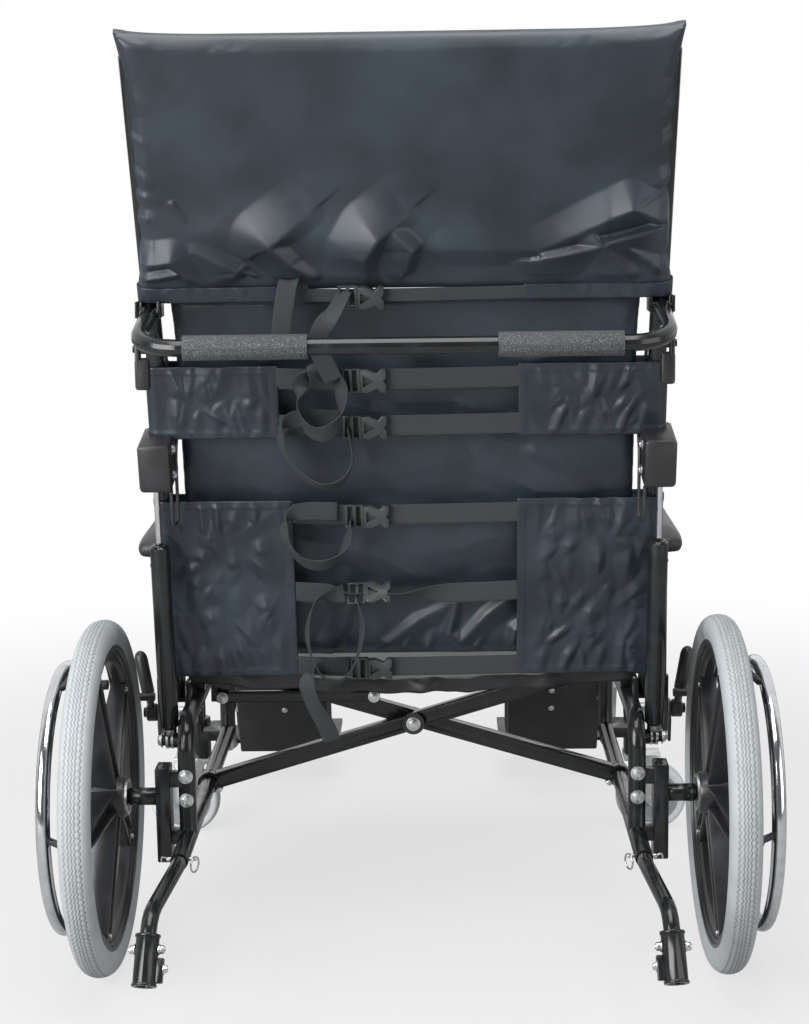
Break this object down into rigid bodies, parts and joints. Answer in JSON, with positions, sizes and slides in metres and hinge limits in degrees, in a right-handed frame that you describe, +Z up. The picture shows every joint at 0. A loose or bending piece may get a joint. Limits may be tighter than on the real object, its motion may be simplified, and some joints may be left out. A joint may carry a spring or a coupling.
{
  "type": "reclining wheelchair",
  "caption": "Wide reclining wheelchair with a gas-sprung back, head extension, composite rear wheels, casters, lift-out armrests, elevating legrests and anti-tippers.",
  "frame": {"origin": "on the floor under the middle of the chair's box", "axes": "+X to the user's right, +Y forward, towards the footplates, +Z up"},
  "size_m": [1.0056, 1.3162, 1.3215],
  "materials": {
    "black_paint": "gloss black powder coat",
    "chrome": "polished chrome plate",
    "zinc_steel": "bright zinc plate",
    "black_plastic": "fine matt black moulding",
    "grey_tyre": "light grey solid rubber",
    "grey_foam": "speckled grey foam",
    "navy_nylon": "coated nylon with a slight sheen, dark slate navy",
    "black_vinyl": "soft black vinyl",
    "silver_paint": "silver powder coat"
  },
  "bodies": {
    "frame": {"side_frame_left": "black_paint", "side_frame_right": "black_paint", "rear_axle_left": "black_paint", "rear_axle_right": "black_paint", "cross_tube_a": "black_paint", "cross_tube_b": "black_paint", "cross_bolt": "zinc_steel", "cross_link": "black_paint", "seat_sling": "navy_nylon"},
    "back": {"back_cane_left": "black_paint", "back_cane_right": "black_paint", "actuator_head_left": "black_plastic", "actuator_head_right": "black_plastic", "release_cable_left": "black_plastic", "release_cable_right": "black_plastic", "push_bar": "black_paint", "foam_grip_left": "grey_foam", "foam_grip_right": "grey_foam", "back_panel": "navy_nylon", "middle_band": "navy_nylon", "lower_band": "navy_nylon"},
    "head_extension": {"head_pad": "navy_nylon", "head_band": "navy_nylon", "head_post_left": "black_paint", "head_post_right": "black_paint"},
    "wheel_left": {"rear_wheel_left": "black_plastic", "tyre_left": "grey_tyre", "handrim_left": "chrome"},
    "wheel_right": {"rear_wheel_right": "black_plastic", "tyre_right": "grey_tyre", "handrim_right": "chrome"},
    "caster_swivel_left": {"caster_fork_left": "zinc_steel"},
    "caster_swivel_right": {"caster_fork_right": "zinc_steel"},
    "caster_roll_left": {"caster_wheel_left": "grey_tyre"},
    "caster_roll_right": {"caster_wheel_right": "grey_tyre"},
    "gas_barrel_left": {"gas_cylinder_left": "black_paint"},
    "gas_barrel_right": {"gas_cylinder_right": "black_paint"},
    "gas_piston_left": {"gas_rod_left": "chrome"},
    "gas_piston_right": {"gas_rod_right": "chrome"},
    "lever_left": {"release_lever_left": "black_plastic"},
    "lever_right": {"release_lever_right": "black_plastic"},
    "armrest_left": {"armrest_frame_left": "black_paint", "arm_pad_left": "black_vinyl", "side_guard_left": "black_plastic"},
    "armrest_right": {"armrest_frame_right": "black_paint", "arm_pad_right": "black_vinyl", "side_guard_right": "black_plastic"},
    "lock_left": {"wheel_lock_left": "black_plastic"},
    "lock_right": {"wheel_lock_right": "black_plastic"},
    "tipper_left": {"antitipper_left": "black_paint"},
    "tipper_right": {"antitipper_right": "black_paint"},
    "hanger_left": {"legrest_hanger_left": "black_paint"},
    "hanger_right": {"legrest_hanger_right": "black_paint"},
    "leg_left": {"legrest_tube_left": "silver_paint", "calf_pad_left": "black_vinyl"},
    "leg_right": {"legrest_tube_right": "silver_paint", "calf_pad_right": "black_vinyl"},
    "foot_left": {"footplate_left": "black_plastic"},
    "foot_right": {"footplate_right": "black_plastic"}
  },
  "joints": [
    {"name": "recline", "type": "hinge", "parent": "frame", "child": "back", "pos_m": [0, -0.20692, 0.388], "axis": [1, 0, 0], "range_deg": [0, 55]},
    {"name": "head_lift", "type": "slide", "parent": "back", "child": "head_extension", "axis": [0, -0.3746, 0.9272], "range_m": [0, 0.06]},
    {"name": "gas_swing_left", "type": "hinge", "parent": "frame", "child": "gas_barrel_left", "pos_m": [-0.35, -0.26692, 0.325], "axis": [1, 0, 0], "range_deg": [0, 52.5]},
    {"name": "gas_swing_right", "type": "hinge", "parent": "frame", "child": "gas_barrel_right", "pos_m": [0.35, -0.26692, 0.325], "axis": [1, 0, 0], "range_deg": [0, 52.5]},
    {"name": "gas_stroke_left", "type": "slide", "parent": "gas_barrel_left", "child": "gas_piston_left", "axis": [0, 0.1206, -0.9927], "range_m": [0, 0.0785]},
    {"name": "gas_stroke_right", "type": "slide", "parent": "gas_barrel_right", "child": "gas_piston_right", "axis": [0, 0.1206, -0.9927], "range_m": [0, 0.0785]},
    {"name": "rear_wheel_left_spin", "type": "hinge", "parent": "frame", "child": "wheel_left", "pos_m": [-0.442, -0.30692, 0.254], "axis": [1, 0, 0], "continuous": true},
    {"name": "rear_wheel_right_spin", "type": "hinge", "parent": "frame", "child": "wheel_right", "pos_m": [0.442, -0.30692, 0.254], "axis": [1, 0, 0], "continuous": true},
    {"name": "caster_left_swivel", "type": "hinge", "parent": "frame", "child": "caster_swivel_left", "pos_m": [-0.375, 0.26508, 0.138], "axis": [0, 0, 1], "continuous": true},
    {"name": "caster_right_swivel", "type": "hinge", "parent": "frame", "child": "caster_swivel_right", "pos_m": [0.375, 0.26508, 0.138], "axis": [0, 0, 1], "continuous": true},
    {"name": "caster_left_roll", "type": "hinge", "parent": "caster_swivel_left", "child": "caster_roll_left", "pos_m": [-0.405, 0.26508, 0.061], "axis": [0, 1, 0], "continuous": true},
    {"name": "caster_right_roll", "type": "hinge", "parent": "caster_swivel_right", "child": "caster_roll_right", "pos_m": [0.405, 0.26508, 0.061], "axis": [0, 1, 0], "continuous": true},
    {"name": "release_lever_left_pull", "type": "hinge", "parent": "back", "child": "lever_left", "pos_m": [-0.345, -0.41892, 0.90732], "axis": [-1, 0, 0], "range_deg": [0, 18], "stiffness_Nm_per_rad": 0.6},
    {"name": "release_lever_right_pull", "type": "hinge", "parent": "back", "child": "lever_right", "pos_m": [0.345, -0.41892, 0.90732], "axis": [-1, 0, 0], "range_deg": [0, 18], "stiffness_Nm_per_rad": 0.6},
    {"name": "armrest_left_lift", "type": "slide", "parent": "frame", "child": "armrest_left", "axis": [0, 0, 1], "range_m": [0, 0.2]},
    {"name": "armrest_right_lift", "type": "slide", "parent": "frame", "child": "armrest_right", "axis": [0, 0, 1], "range_m": [0, 0.2]},
    {"name": "wheel_lock_left_turn", "type": "hinge", "parent": "frame", "child": "lock_left", "pos_m": [-0.413, -0.01942, 0.297], "axis": [1, 0, 0], "range_deg": [0, 36]},
    {"name": "wheel_lock_right_turn", "type": "hinge", "parent": "frame", "child": "lock_right", "pos_m": [0.413, -0.01942, 0.297], "axis": [1, 0, 0], "range_deg": [0, 36]},
    {"name": "antitipper_left_pull", "type": "slide", "parent": "frame", "child": "tipper_left", "axis": [0, -1, 0], "range_m": [0, 0.05]},
    {"name": "antitipper_right_pull", "type": "slide", "parent": "frame", "child": "tipper_right", "axis": [0, -1, 0], "range_m": [0, 0.05]},
    {"name": "legrest_left_swing", "type": "hinge", "parent": "frame", "child": "hanger_left", "pos_m": [-0.322, 0.25908, 0.335], "axis": [0, 0, 1], "range_deg": [0, 90]},
    {"name": "legrest_right_swing", "type": "hinge", "parent": "frame", "child": "hanger_right", "pos_m": [0.322, 0.25908, 0.335], "axis": [0, 0, -1], "range_deg": [0, 90]},
    {"name": "legrest_left_elevate", "type": "hinge", "parent": "hanger_left", "child": "leg_left", "pos_m": [-0.35, 0.39308, 0.335], "axis": [1, 0, 0], "range_deg": [0, 65]},
    {"name": "legrest_right_elevate", "type": "hinge", "parent": "hanger_right", "child": "leg_right", "pos_m": [0.35, 0.39308, 0.335], "axis": [1, 0, 0], "range_deg": [0, 65]},
    {"name": "footplate_left_flip", "type": "hinge", "parent": "leg_left", "child": "foot_left", "pos_m": [-0.35, 0.55308, 0.085], "axis": [0, -1, 0], "range_deg": [0, 88]},
    {"name": "footplate_right_flip", "type": "hinge", "parent": "leg_right", "child": "foot_right", "pos_m": [0.35, 0.55308, 0.085], "axis": [0, 1, 0], "range_deg": [0, 88]}
  ],
  "couplings": [
    {"joint": "gas_swing_left", "follows": "recline", "ratio": 0.94682},
    {"joint": "gas_swing_right", "follows": "recline", "ratio": 0.94682},
    {"joint": "gas_stroke_left", "follows": "recline", "m_per_rad": 0.081435},
    {"joint": "gas_stroke_right", "follows": "recline", "m_per_rad": 0.081435}
  ]
}
